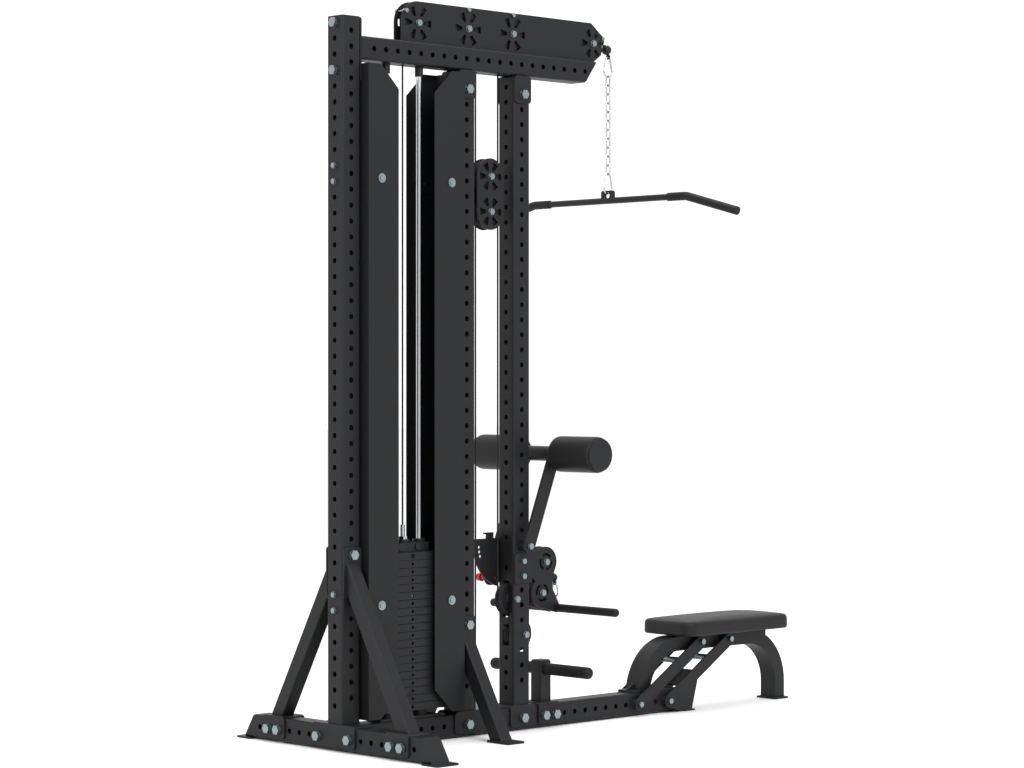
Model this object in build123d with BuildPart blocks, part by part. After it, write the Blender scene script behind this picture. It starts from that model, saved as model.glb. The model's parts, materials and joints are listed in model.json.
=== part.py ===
from build123d import *
from math import acos, atan2, cos, degrees, hypot, radians, sin, tan
import os

os.makedirs("parts", exist_ok=True)

# Lat pulldown and low row machine, in millimetres.
# X runs along the machine from the rear upright to the seat, Y across it and Z up.
# The origin is on the floor, midway between the ends of the machine.

# ------------------------------------------------------------------ driving dimensions
rear_x = -1020.5            # centre line of the rear upright
mid_x = rear_x + 495        # middle upright
front_x = rear_x + 745      # front upright
stack_x = rear_x + 247.5    # weight stack and its cable
tube = 75.0                 # square tube of the main frame
wall = 3.0
corner = 8.0
half = tube / 2
plate = 6.0                 # saddles, tabs and flanges
out = half + plate          # outer face of a plate that hugs a tube
hole_r = 8.75
pitch = 50.0                # spacing of the adjusting holes
base_z = 42.5               # centre line of the floor tubes
floor_top = base_z + half
post_foot = floor_top + plate
beam_z = 2217.5             # centre line of the top beam
beam_under = beam_z - half
beam_over = beam_z + half
post_top = beam_under - plate
mast_top = 2314.0           # top of the rear upright
thin = 50.0                 # smaller square tube of braces, peg post and seat

cable_r = 3.0
pulley_pitch_r = 50.5       # cable centre line on a large pulley
pulley_r = 56.5
pulley_w = 24.0
row_pitch_r = 46.5          # cable centre line on a small pulley
row_pulley_r = 50.5
axle_r = 6.0
axle_gap = 0.05
cheek_in = 15.0             # inner face of the plates beside the pulleys
cheek_t = 4.0

top_pulley_z = 2318.5
top_pulley_x = [rear_x + x for x in (298, 518, 720, 1100)]
block_x = rear_x + 619      # double pulley block that floats between the two cables
block_z = (1723.0, 1839.5)
high_guide = (rear_x + 720, 438.0)
low_guide = (rear_x + 761, 318.0)
row_low = (rear_x + 858, 451.0)
row_high = (rear_x + 875, 554.0)

plate_t = 25.4              # weight plates
plate_l = 300.0
plate_d = 100.0
stack_z = 108.1
plate_count = 19
lifted = 5                  # plates above the selector pin's plate, and that plate
rod_gap = 71.0              # guide rods either side of the stack's centre
rod_r = 9.5
pin_r = 4.8
select_r = 12.5

plate_gap = 0.2
pivot_r = 5.7
pivot = (front_x, 614.5)    # hinge of the thigh roller arm
roller_reach = 327.7
roller_rest = 68.55         # degrees above the horizontal
roller_r = 60.0
roller_l = 193.0
roller_in = 91.0            # inner end of each roller from the centre plane
arm_in, arm_out = 67.0, 75.0
latch_r = 118.0             # circle of the latch holes

bar_x = rear_x + 1195       # the hanging bar
bar_z = 1785.0
bar_r = 11.0
grip_r = 14.5
bend_y = 365.0
bar_end_y = 594.0
bar_drop = 60.0

seat_r = 172.0              # centre-line radius of the seat legs
seat_arc_z = 64.0
seat_rear = rear_x + 1343   # centre line of the rear leg
seat_front = rear_x + 2060
seat_w = 70.0
pad_x = (rear_x + 1480, rear_x + 2028)
pad_w = 240.0
pad_z = (266.0, 319.0)


def spaced(first, last, step=pitch):
    count = round((last - first) / step) + 1
    return [first + step * i for i in range(count)]


def without(values, gone):
    return [v for v in values if min(abs(v - g) for g in gone) > 1]


# ------------------------------------------------------------------ shared shapes
def drilled_post(x, z0, z1, side_holes, face_holes):
    """Square tube on end, drilled across (side_holes) and along the machine (face_holes)."""
    with BuildPart() as post:
        with BuildSketch(Plane.XY.offset(z0)):
            with Locations((x, 0)):
                RectangleRounded(tube, tube, corner)
                RectangleRounded(tube - 2 * wall, tube - 2 * wall, corner - wall, mode=Mode.SUBTRACT)
        extrude(amount=z1 - z0)
        with BuildSketch(Plane.XZ):
            with Locations([(x, z) for z in side_holes]):
                Circle(hole_r)
        extrude(amount=tube, both=True, mode=Mode.SUBTRACT)
        with BuildSketch(Plane.YZ.offset(x)):
            with Locations([(0, z) for z in face_holes]):
                Circle(hole_r)
        extrude(amount=tube, both=True, mode=Mode.SUBTRACT)
    return post.part


def saddle(plane, centre, length, z0, z1, gap_z0, gap_z1, holes):
    """U of plate that straddles a square tube; plane holds its side view, holes its bolts."""
    with BuildPart() as u:
        with BuildSketch(plane):
            with Locations((centre, (z0 + z1) / 2)):
                RectangleRounded(length, z1 - z0, min(14, (z1 - z0) / 3))
        extrude(amount=out, both=True)
        with BuildSketch(plane):
            with Locations((centre, (gap_z0 + gap_z1) / 2)):
                Rectangle(length + 2, gap_z1 - gap_z0)
        extrude(amount=half, both=True, mode=Mode.SUBTRACT)
        with BuildSketch(plane):
            with Locations(holes):
                Circle(hole_r)
        extrude(amount=tube, both=True, mode=Mode.SUBTRACT)
    return u.part


def across(x, z, y_head, y_nut, r, flats, head=10.0):
    """Bolt across the machine: hexagon head towards -Y, nut towards +Y, washers under both."""
    with BuildPart() as bolt:
        with BuildSketch(Plane.XZ.offset(-y_nut - 3 - flats / 2)):
            with Locations((x, z)):
                Circle(r)
        extrude(amount=y_nut - y_head + 3 + flats / 2)
        for y0, y1 in ((y_head, y_head - 3), (y_nut + 3, y_nut)):
            with BuildSketch(Plane.XZ.offset(-y0)):
                with Locations((x, z)):
                    Circle(r * 1.9)
            extrude(amount=y0 - y1)
        for y0, y1 in ((y_head - 3, y_head - 3 - head), (y_nut + 3 + flats * 0.4, y_nut + 3)):
            with BuildSketch(Plane.XZ.offset(-y0)):
                with Locations((x, z)):
                    RegularPolygon(flats / 2, 6, major_radius=False)
            extrude(amount=y0 - y1)
    return bolt.part


def along(y, z, x_head, x_nut, r, flats, head=10.0):
    """Bolt along the machine: hexagon head towards -X, nut towards +X, washers under both."""
    with BuildPart() as bolt:
        with BuildSketch(Plane.YZ.offset(x_head)):
            with Locations((y, z)):
                Circle(r)
        extrude(amount=x_nut - x_head + 3 + flats / 2)
        for x0 in (x_head - 3, x_nut):
            with BuildSketch(Plane.YZ.offset(x0)):
                with Locations((y, z)):
                    Circle(r * 1.9)
            extrude(amount=3)
        for x0, thick in ((x_head - 3 - head, head), (x_nut + 3, flats * 0.4)):
            with BuildSketch(Plane.YZ.offset(x0)):
                with Locations((y, z)):
                    RegularPolygon(flats / 2, 6, major_radius=False)
            extrude(amount=thick)
    return bolt.part


def pulley(x, z, r, pitch_r, width):
    """Grooved wheel about an axis across the machine, dished on both sides."""
    hub = axle_r + 9
    rim = pitch_r - 9
    web = width / 2 - 6
    with BuildPart() as wheel:
        with BuildSketch(Plane.XY.offset(z)):
            with BuildLine():
                Polyline(
                    (x + axle_r + axle_gap, -width / 2), (x + hub, -width / 2), (x + hub + 4, -web),
                    (x + rim - 4, -web), (x + rim, -width / 2 + 2), (x + r - 1.5, -width / 2 + 2),
                    (x + r, -width / 2 + 3.5), (x + pitch_r, -cable_r - 1.2), (x + pitch_r, cable_r + 1.2),
                    (x + r, width / 2 - 3.5), (x + r - 1.5, width / 2 - 2), (x + rim, width / 2 - 2),
                    (x + rim - 4, web), (x + hub + 4, web), (x + hub, width / 2),
                    (x + axle_r + axle_gap, width / 2), close=True,
                )
            make_face()
            with Locations((x + pitch_r, 0)):
                Circle(cable_r + 0.6, mode=Mode.SUBTRACT)
        revolve(axis=Axis((x, 0, z), (0, 1, 0)))
    return wheel.part


def windows(centres, inner, outer):
    """Six tapered openings round each pulley axle, cut in the sketch being drawn."""
    with Locations(*centres):
        with PolarLocations(0, 6):
            Polygon((inner, -5), (outer, -12.5), (outer + 1.5, 0), (outer, 12.5), (inner, 5),
                    align=None, mode=Mode.SUBTRACT)


# ------------------------------------------------------------------ uprights
side_line = spaced(167.5, 2267.5)
face_line = spaced(142.5, 2292.5)

with BuildPart() as rear_upright:
    add(drilled_post(rear_x, post_foot, mast_top, side_line, face_line))
    add(saddle(Plane.YZ.offset(rear_x), 0, 206, 13, post_foot, 0, floor_top, [(-75, base_z), (75, base_z)]))
    with Locations((rear_x, 0, mast_top - 1.5)):
        Box(tube - 2 * wall, tube - 2 * wall, 3)
rear_upright.part.label = "rear_upright"
export_step(rear_upright.part, "parts/rear_upright.step")

with BuildPart() as mid_upright:
    add(drilled_post(mid_x, post_foot, post_top, spaced(167.5, 2117.5), spaced(142.5, 2142.5)))
    add(saddle(Plane.XZ, mid_x, 114, 13, post_foot, 0, floor_top, [(mid_x, base_z)]))
mid_upright.part.label = "middle_upright"
export_step(mid_upright.part, "parts/middle_upright.step")

front_sides = without(spaced(167.5, 2117.5), [317.5])
front_faces = without(spaced(142.5, 2142.5), [292.5, 342.5, 392.5, 442.5, 492.5, 592.5])
slot_w = 2 * cheek_in
with BuildPart() as front_upright:
    add(drilled_post(front_x, post_foot, post_top, front_sides, front_faces))
    add(saddle(Plane.XZ, front_x, 114, 13, post_foot, 0, floor_top, [(front_x, base_z)]))
    # Slots for the guide pulleys and the cable: two in the rear wall, one in the front wall.
    for x, z0, z1 in (
        (front_x - half, high_guide[1] - 61, high_guide[1] + 61),
        (front_x - half, low_guide[1] - 35, low_guide[1] + 35),
        (front_x + half, low_guide[1] - 61, low_guide[1] + 61),
    ):
        with Locations((x, 0, (z0 + z1) / 2)):
            Box(2 * corner, slot_w, z1 - z0, mode=Mode.SUBTRACT)
    with BuildSketch(Plane.XZ):
        with Locations([high_guide, low_guide]):
            Circle(axle_r + 0.25)
    extrude(amount=tube, both=True, mode=Mode.SUBTRACT)
front_upright.part.label = "front_upright"
export_step(front_upright.part, "parts/front_upright.step")

# ------------------------------------------------------------------ floor tubes
base_start = rear_x + out
base_end = rear_x + 1530
with BuildPart() as base_beam:
    with BuildSketch(Plane.YZ.offset(base_start)):
        with Locations((0, base_z)):
            RectangleRounded(tube, tube, corner)
            RectangleRounded(tube - 2 * wall, tube - 2 * wall, corner - wall, mode=Mode.SUBTRACT)
    extrude(amount=base_end - base_start)
    with BuildSketch(Plane.XZ):
        with Locations([(x, base_z) for x in spaced(rear_x + 95, rear_x + 1545)]):
            Circle(hole_r)
    extrude(amount=tube, both=True, mode=Mode.SUBTRACT)
base_beam.part.label = "base_beam"
export_step(base_beam.part, "parts/base_beam.step")

cross_top = 408.0
cross_foot = 455.0
foot_tip = 490.0
with BuildPart() as rear_crossmember:
    with BuildSketch(Plane.YZ.offset(rear_x - half)):
        Polygon(
            (-cross_top, floor_top), (-cross_foot, 5), (cross_foot, 5), (cross_top, floor_top), align=None,
        )
    extrude(amount=tube)
    fillet(rear_crossmember.edges().filter_by(Axis.Y), corner)
    with BuildSketch(Plane.YZ.offset(rear_x - half + wall)):
        Polygon(
            (-cross_top + 2, floor_top - wall), (-cross_foot + 6, 5 + wall), (cross_foot - 6, 5 + wall),
            (cross_top - 2, floor_top - wall), align=None,
        )
    extrude(amount=tube - 2 * wall, mode=Mode.SUBTRACT)
    with BuildSketch(Plane.YZ.offset(rear_x)):
        with Locations([(y, base_z) for y in spaced(-375, 375)]):
            Circle(hole_r)
    extrude(amount=tube, both=True, mode=Mode.SUBTRACT)
    for side in (-1, 1):
        with BuildSketch(Plane.XY):
            with Locations((rear_x, side * (foot_tip - 38))):
                RectangleRounded(95, 76, 10)
        extrude(amount=5)
rear_crossmember.part.label = "rear_crossmember"
export_step(rear_crossmember.part, "parts/rear_crossmember.step")

# ------------------------------------------------------------------ braces and stabilisers
brace_lean = radians(29.65)     # of braces and stabilisers, from the vertical
lean = tan(brace_lean)
reach = thin / 2 / cos(brace_lean)


def leaning_tube(side, x, y_floor, z_floor):
    """Square tube that leans from |y_floor| at z_floor in to the plate on the upright's side."""
    def outline(inset):
        inner_y = y_floor - reach + inset / cos(brace_lean)
        outer_y = y_floor + reach - inset / cos(brace_lean)
        points = [
            (out, z_floor + (outer_y - out) / lean), (out, z_floor + (inner_y - out) / lean),
            (inner_y, z_floor), (outer_y, z_floor),
        ]
        return [(side * y, z) for y, z in points]

    with BuildPart() as leg:
        with BuildSketch(Plane.YZ.offset(x - thin / 2)):
            Polygon(*outline(0), align=None)
        extrude(amount=thin)
        slanted = leg.edges().filter_by(lambda e: 0.1 < abs((e % 0.5).Y) < 0.9)
        fillet(slanted, 5)
        with BuildSketch(Plane.YZ.offset(x - thin / 2 + wall)):
            Polygon(*outline(wall), align=None)
        extrude(amount=thin - 2 * wall, mode=Mode.SUBTRACT)
    return leg.part


def side_plate(side, x, z0, z1, hole_z):
    """Plate flat on one side of an upright, with its bolt hole."""
    with BuildPart() as tab:
        with BuildSketch(Plane.XZ.offset(-out if side > 0 else half)):
            with Locations((x, (z0 + z1) / 2)):
                RectangleRounded(tube - 2, z1 - z0, 10)
            with Locations((x, hole_z)):
                Circle(hole_r, mode=Mode.SUBTRACT)
        extrude(amount=plate)
    return tab.part


for side, hand in ((-1, "left"), (1, "right")):
    with BuildPart() as brace:
        add(leaning_tube(side, rear_x, 305.1, post_foot))
        add(side_plate(side, rear_x, 480, 642, 617.5))
        add(saddle(Plane.YZ.offset(rear_x), side * 300, 110, 13, post_foot, 0, floor_top,
                   [(side * 275, base_z), (side * 325, base_z)]))
    brace.part.label = "rear_brace_" + hand
    export_step(brace.part, "parts/rear_brace_" + hand + ".step")

    with BuildPart() as stabiliser:
        add(leaning_tube(side, mid_x, 200, plate))
        add(side_plate(side, mid_x, 236, 395, 367.5))
        with BuildSketch(Plane.XY):
            with Locations((mid_x, side * 221)):
                RectangleRounded(76, 104, 8)
        extrude(amount=plate)
    stabiliser.part.label = "side_stabiliser_" + hand
    export_step(stabiliser.part, "parts/side_stabiliser_" + hand + ".step")

# ------------------------------------------------------------------ top beam
beam_start = rear_x + half
beam_tip_low, beam_tip_high = rear_x + 1047, rear_x + 1102
with BuildPart() as top_beam:
    with BuildSketch(Plane.XZ):
        Polygon(
            (beam_start + plate, beam_under), (beam_tip_low, beam_under), (beam_tip_high, beam_over),
            (beam_start + plate, beam_over), align=None,
        )
    extrude(amount=half, both=True)
    fillet(top_beam.edges().filter_by(Axis.X), corner)
    with BuildSketch(Plane.XZ):
        Polygon(
            (beam_start + plate + wall, beam_under + wall), (beam_tip_low - 2, beam_under + wall),
            (beam_tip_high - 6, beam_over - wall), (beam_start + plate + wall, beam_over - wall), align=None,
        )
    extrude(amount=half - wall, both=True, mode=Mode.SUBTRACT)
    with BuildSketch(Plane.XZ):
        with Locations([(x, beam_z) for x in spaced(rear_x + 95, rear_x + 1045)]):
            Circle(hole_r)
    extrude(amount=tube, both=True, mode=Mode.SUBTRACT)
    # Cable holes through the beam's top and bottom walls.
    with BuildSketch(Plane.XY.offset(beam_under - 1)):
        with Locations((stack_x, 0), (block_x - pulley_pitch_r, 0), (block_x + pulley_pitch_r, 0)):
            Circle(9)
    extrude(amount=tube + 2, mode=Mode.SUBTRACT)
    # End flange against the rear upright, and the two brackets that drop over the other uprights.
    with BuildSketch(Plane.YZ.offset(beam_start)):
        with Locations((0, (2110 + mast_top) / 2)):
            RectangleRounded(tube - 2, mast_top - 2110, 10)
        with Locations([(0, 2142.5), (0, 2292.5)]):
            Circle(hole_r, mode=Mode.SUBTRACT)
    extrude(amount=plate)
    for x in (mid_x, front_x):
        add(saddle(Plane.XZ, x, tube, 2088, beam_under, 2080, post_top, [(x, 2117.5)]))
top_beam.part.label = "top_beam"
export_step(top_beam.part, "parts/top_beam.step")

# ------------------------------------------------------------------ pulley housing on the top beam
housing_rear = rear_x + 226
housing_top = 2388.0
standoffs = [(rear_x + 244, 2354), (rear_x + 518, 2381), (rear_x + 720, 2381)]
nose_rivet = (rear_x + 1149, 2339)
for side, hand in ((-1, "left"), (1, "right")):
    with BuildPart() as cheek:
        with BuildSketch(Plane.XZ.offset(cheek_in if side < 0 else -cheek_in - cheek_t)):
            with BuildLine():
                Line((housing_rear, beam_over), (housing_rear, housing_top - 70))
                RadiusArc((housing_rear, housing_top - 70), (housing_rear + 70, housing_top), 70)
                Polyline(
                    (housing_rear + 70, housing_top), (rear_x + 1092, housing_top), (rear_x + 1158, 2340),
                    (rear_x + 1157, 2330), (rear_x + 1141, 2282), (rear_x + 1104, beam_over),
                    (housing_rear, beam_over),
                )
            make_face()
            with Locations([(x, top_pulley_z) for x in top_pulley_x]):
                Circle(axle_r + 0.25, mode=Mode.SUBTRACT)
            with Locations(*standoffs, nose_rivet):
                Circle(3.6, mode=Mode.SUBTRACT)
            windows([(x, top_pulley_z) for x in top_pulley_x[:3]], 25, 56)
            windows([(top_pulley_x[3], top_pulley_z)], 24, 50)
        extrude(amount=cheek_t)
        with BuildSketch(Plane.XY.offset(beam_over)):
            with Locations(((housing_rear + rear_x + 1090) / 2, side * (cheek_in + cheek_t + 7))):
                Rectangle(rear_x + 1090 - housing_rear, 14)
        extrude(amount=3)
    cheek.part.label = "housing_cheek_" + hand
    export_step(cheek.part, "parts/housing_cheek_" + hand + ".step")

for i, x in enumerate(top_pulley_x):
    with BuildPart() as top_pulley:
        add(pulley(x, top_pulley_z, pulley_r, pulley_pitch_r, pulley_w))
    top_pulley.part.label = "top_pulley_" + str(i + 1)
    export_step(top_pulley.part, "parts/top_pulley_" + str(i + 1) + ".step")

cheek_out = cheek_in + cheek_t

ring_in = pulley_w / 2 + 0.3


def spacer(x, z, y0, y1, r, bore=0.0):
    """Round spacer across the machine, from y0 to y1."""
    with BuildPart() as ring:
        with BuildSketch(Plane.XZ.offset(-y1)):
            with Locations((x, z)):
                Circle(r)
                if bore:
                    Circle(bore, mode=Mode.SUBTRACT)
        extrude(amount=y1 - y0)
    return ring.part


with BuildPart() as housing_bolts:
    for x in top_pulley_x:
        add(across(x, top_pulley_z, -cheek_out, cheek_out, axle_r, 19, head=7))
        add(spacer(x, top_pulley_z, -cheek_in, -ring_in, axle_r + 4))
        add(spacer(x, top_pulley_z, ring_in, cheek_in, axle_r + 4))
    for x, z in standoffs:
        add(across(x, z, -cheek_out, cheek_out, 3.5, 13, head=5))
    for y0, y1 in ((-cheek_out - 3, -cheek_in), (cheek_in, cheek_out + 3)):
        add(spacer(nose_rivet[0], nose_rivet[1], y0, y1, 3.5))
    for y0, y1 in ((-cheek_out - 4, -cheek_out), (cheek_out, cheek_out + 4)):
        add(spacer(nose_rivet[0], nose_rivet[1], y0, y1, 6.5))
housing_bolts.part.label = "housing_bolts"
export_step(housing_bolts.part, "parts/housing_bolts.step")

# ------------------------------------------------------------------ floating pulley block
block_end_r = 60.0
with BuildPart() as block_cheeks:
    for side in (-1, 1):
        with BuildSketch(Plane.XZ.offset(cheek_in if side < 0 else -cheek_out)):
            with Locations((block_x, sum(block_z) / 2)):
                SlotCenterToCenter(block_z[1] - block_z[0], 2 * block_end_r, rotation=90)
            with Locations([(block_x, z) for z in block_z]):
                Circle(axle_r + 0.25, mode=Mode.SUBTRACT)
            windows([(block_x, z) for z in block_z], 21, 47)
        extrude(amount=cheek_t)
block_cheeks.part.label = "block_cheeks"
export_step(block_cheeks.part, "parts/block_cheeks.step")

for z, name in zip(block_z, ("block_pulley_lower", "block_pulley_upper")):
    with BuildPart() as block_pulley:
        add(pulley(block_x, z, pulley_r, pulley_pitch_r, pulley_w))
    block_pulley.part.label = name
    export_step(block_pulley.part, "parts/" + name + ".step")

with BuildPart() as block_bolts:
    for z in block_z:
        add(across(block_x, z, -cheek_out, cheek_out, axle_r, 19, head=7))
        add(spacer(block_x, z, -cheek_in, -ring_in, axle_r + 4))
        add(spacer(block_x, z, ring_in, cheek_in, axle_r + 4))
block_bolts.part.label = "block_bolts"
export_step(block_bolts.part, "parts/block_bolts.step")

# ------------------------------------------------------------------ stack guards
guard_z = (95.0, 2167.0)
guard_t = 2.5
guard_y = 70.0
bevel = 75.0
screw_x = (rear_x + 97.5, rear_x + 397.5)
screw_z = (455.0, 1806.0)


def guard(web_x, lip_x, bolts):
    """Bent sheet channel with its web at web_x, bevelled at the free corners of its flanges."""
    inward = 1 if lip_x > web_x else -1
    z0, z1 = guard_z
    with BuildPart() as channel:
        with BuildSketch(Plane.XZ):
            Polygon(
                (web_x, z0), (lip_x - inward * bevel, z0), (lip_x, z0 + bevel), (lip_x, z1 - bevel),
                (lip_x - inward * bevel, z1), (web_x, z1), align=None,
            )
        extrude(amount=guard_y, both=True)
        with BuildSketch(Plane.XZ):
            with Locations((web_x + inward * (guard_t + 150), (z0 + z1) / 2)):
                Rectangle(300, z1 - z0 + 2)
        extrude(amount=guard_y - guard_t, both=True, mode=Mode.SUBTRACT)
        with BuildSketch(Plane.YZ.offset(web_x)):
            with Locations([(0, z) for z in bolts]):
                Circle(6.5)
            with Locations((0, 2142.5)):
                Circle(24)
        extrude(amount=10, both=True, mode=Mode.SUBTRACT)
        with BuildSketch(Plane.XZ):
            with Locations([(x, z) for x in screw_x for z in screw_z]):
                Circle(4.1)
        extrude(amount=guard_y + 1, both=True, mode=Mode.SUBTRACT)
    return channel.part


guard_bolts = (442.5, 492.5, 1792.5, 1842.5)
rear_web = rear_x + half + plate + 0.5
front_web = mid_x - half - 2.5
with BuildPart() as rear_shroud:
    add(guard(rear_web, rear_x + 170, guard_bolts))
rear_shroud.part.label = "rear_shroud"
export_step(rear_shroud.part, "parts/rear_shroud.step")

with BuildPart() as front_shroud:
    add(guard(front_web, rear_x + 325, guard_bolts))
front_shroud.part.label = "front_shroud"
export_step(front_shroud.part, "parts/front_shroud.step")

bracket_y = guard_y - guard_t
with BuildPart() as shroud_brackets:
    for web, inward, screw in ((rear_web, 1, screw_x[0]), (front_web, -1, screw_x[1])):
        back = web + inward * guard_t
        tip = screw + inward * 18
        for z in (467.5, 1817.5):
            with BuildSketch(Plane.XY.offset(z - 38)):
                with Locations(((back + tip) / 2, 0)):
                    Rectangle(abs(tip - back), 2 * bracket_y)
                with Locations(((back + inward * 4 + tip) / 2 + inward, 0)):
                    Rectangle(abs(tip - back) - 2, 2 * bracket_y - 8, mode=Mode.SUBTRACT)
            extrude(amount=76)
    for z in guard_bolts:
        with BuildSketch(Plane.YZ.offset(rear_x + half)):
            with Locations((0, z)):
                Circle(16)
        extrude(amount=rear_web - rear_x - half)
        with BuildSketch(Plane.YZ.offset(front_web)):
            with Locations((0, z)):
                Circle(16)
        extrude(amount=mid_x - half - front_web)
        with BuildSketch(Plane.YZ.offset(rear_x + half - 2)):
            with Locations((0, z)):
                Circle(5.2)
        extrude(amount=600, mode=Mode.SUBTRACT)
    for z in screw_z:
        with BuildSketch(Plane.XZ):
            with Locations([(x, z) for x in screw_x]):
                Circle(4.1)
        extrude(amount=100, both=True, mode=Mode.SUBTRACT)
shroud_brackets.part.label = "shroud_brackets"
export_step(shroud_brackets.part, "parts/shroud_brackets.step")

with BuildPart() as shroud_screws:
    for x in screw_x:
        for z in screw_z:
            for side in (-1, 1):
                for near, far, r in ((58, 70, 4), (70, 73, 15), (73, 76, 9)):
                    y0, y1 = sorted((side * near, side * far))
                    add(spacer(x, z, y0, y1, r))
    for z in guard_bolts:
        add(along(0, z, rear_x - half, rear_web + guard_t + 4, 5, 16, head=6))
        add(along(0, z, front_web - guard_t - 4, mid_x + half, 5, 16, head=6))
shroud_screws.part.label = "shroud_screws"
export_step(shroud_screws.part, "parts/shroud_screws.step")

# ------------------------------------------------------------------ guide rods and weight stack
rod_x = (stack_x - rod_gap, stack_x + rod_gap)
with BuildPart() as guide_rods:
    with BuildSketch(Plane.XY.offset(floor_top)):
        with Locations([(x, 0) for x in rod_x]):
            Circle(rod_r)
    extrude(amount=beam_under - floor_top)
guide_rods.part.label = "guide_rods"
export_step(guide_rods.part, "parts/guide_rods.step")

with BuildPart() as rod_stops:
    with BuildSketch(Plane.XY.offset(floor_top)):
        with Locations((stack_x, 0)):
            RectangleRounded(250, 70, 8)
    extrude(amount=8)
    with BuildSketch(Plane.XY.offset(floor_top + 8)):
        with Locations([(x, 0) for x in rod_x]):
            Circle(26)
    extrude(amount=stack_z - floor_top - 8)
    with BuildSketch(Plane.XY.offset(floor_top)):
        with Locations([(x, 0) for x in rod_x]):
            Circle(rod_r + 0.02)
    extrude(amount=60, mode=Mode.SUBTRACT)
    # Collars at the top of the rods, under the beam.
    with BuildSketch(Plane.XY.offset(beam_under - 32)):
        with Locations([(x, 0) for x in rod_x]):
            Circle(13.5)
            Circle(rod_r + 0.02, mode=Mode.SUBTRACT)
    extrude(amount=32)
rod_stops.part.label = "rod_stops"
export_step(rod_stops.part, "parts/rod_stops.step")


def slab(z0, thick, length, depth, pin_hole):
    """One weight plate: rod holes, centre hole for the selector rod and a selector pin hole."""
    with BuildPart() as plate_part:
        with BuildSketch(Plane.XY.offset(z0)):
            with Locations((stack_x, 0)):
                RectangleRounded(length, depth, 6)
                Circle(select_r + 0.6, mode=Mode.SUBTRACT)
            with Locations([(x, 0) for x in rod_x]):
                Circle(rod_r + 0.5, mode=Mode.SUBTRACT)
        extrude(amount=thick)
        chamfer(plate_part.edges().group_by(Axis.Z)[-1].filter_by(Axis.X), 1.5)
        chamfer(plate_part.edges().group_by(Axis.Z)[0].filter_by(Axis.X), 1.5)
        with BuildSketch(Plane.XZ):
            with Locations((stack_x, z0 + thick / 2)):
                Circle(pin_hole)
        extrude(amount=depth, both=True, mode=Mode.SUBTRACT)
    return plate_part.part


plate_zs = [stack_z + plate_t * i for i in range(plate_count)]
with BuildPart() as weight_plates:
    for z in plate_zs[:-lifted]:
        add(slab(z, plate_t - plate_gap, plate_l, plate_d, pin_r + 0.4))
weight_plates.part.label = "weight_plates"
export_step(weight_plates.part, "parts/weight_plates.step")

with BuildPart() as lifted_plates:
    for z in plate_zs[-lifted:]:
        add(slab(z, plate_t - plate_gap, plate_l, plate_d, pin_r + axle_gap))
lifted_plates.part.label = "lifted_plates"
export_step(lifted_plates.part, "parts/lifted_plates.step")

stack_top = stack_z + plate_t * plate_count
head_z = stack_top + 24.4
with BuildPart() as top_plate:
    with BuildSketch(Plane.XY.offset(stack_top)):
        with Locations((stack_x, 0)):
            RectangleRounded(plate_l, plate_d, 6)
    extrude(amount=head_z - stack_top)
    with BuildSketch(Plane.XY.offset(head_z)):
        with Locations((stack_x, 0)):
            RectangleRounded(200, 64, 20)
    extrude(amount=30)
    with BuildSketch(Plane.XY.offset(head_z)):
        with Locations([(x, 0) for x in rod_x]):
            Circle(21)
        with Locations((stack_x, 0)):
            Circle(24)
    extrude(amount=40)
    with BuildSketch(Plane.XY.offset(stack_top)):
        with Locations([(x, 0) for x in rod_x]):
            Circle(rod_r + axle_gap)
        with Locations((stack_x, 0)):
            Circle(select_r + 0.02)
    extrude(amount=100, mode=Mode.SUBTRACT)
    with BuildSketch(Plane.XZ.offset(32)):
        with Locations((stack_x - 37, head_z + 17), (stack_x + 37, head_z + 17)):
            Circle(12)
    extrude(amount=4)
    with BuildSketch(Plane.XZ.offset(plate_d / 2)):
        with Locations((stack_x, stack_top + 12.7)):
            Circle(8)
    extrude(amount=-8, mode=Mode.SUBTRACT)
top_plate.part.label = "top_plate"
export_step(top_plate.part, "parts/top_plate.step")

stud_z = head_z + 40
fork_z = 702.0
pin_z = plate_zs[-lifted] + (plate_t - plate_gap) / 2
with BuildPart() as selector_rod:
    with BuildSketch(Plane.XY.offset(stack_z + 4)):
        with Locations((stack_x, 0)):
            Circle(select_r)
    extrude(amount=stud_z - stack_z - 4)
    with BuildSketch(Plane.XY.offset(stud_z)):
        with Locations((stack_x, 0)):
            RegularPolygon(13, 6, major_radius=False)
    extrude(amount=10)
    with BuildSketch(Plane.XY.offset(stud_z)):
        with Locations((stack_x, 0)):
            Circle(8)
    extrude(amount=fork_z - stud_z)
    with BuildSketch(Plane.XZ):
        with Locations([(stack_x, z + (plate_t - plate_gap) / 2) for z in plate_zs]):
            Circle(pin_r + axle_gap)
    extrude(amount=50, both=True, mode=Mode.SUBTRACT)
selector_rod.part.label = "selector_rod"
export_step(selector_rod.part, "parts/selector_rod.step")

with BuildPart() as selector_pin:
    with BuildSketch(Plane.XZ.offset(plate_d / 2 - 4)):
        with Locations((stack_x, pin_z)):
            Circle(pin_r)
    extrude(amount=-plate_d)
    with BuildSketch(Plane.XZ.offset(-plate_d / 2 - 1)):
        with Locations((stack_x, pin_z)):
            Circle(9)
    extrude(amount=-8)
    with BuildSketch(Plane.XZ.offset(-plate_d / 2 - 9)):
        with Locations((stack_x, pin_z)):
            Circle(14)
    extrude(amount=-10)
    fillet(selector_pin.faces().sort_by(Axis.Y)[-1].edges(), 3)
selector_pin.part.label = "selector_pin"
export_step(selector_pin.part, "parts/selector_pin.step")

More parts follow.
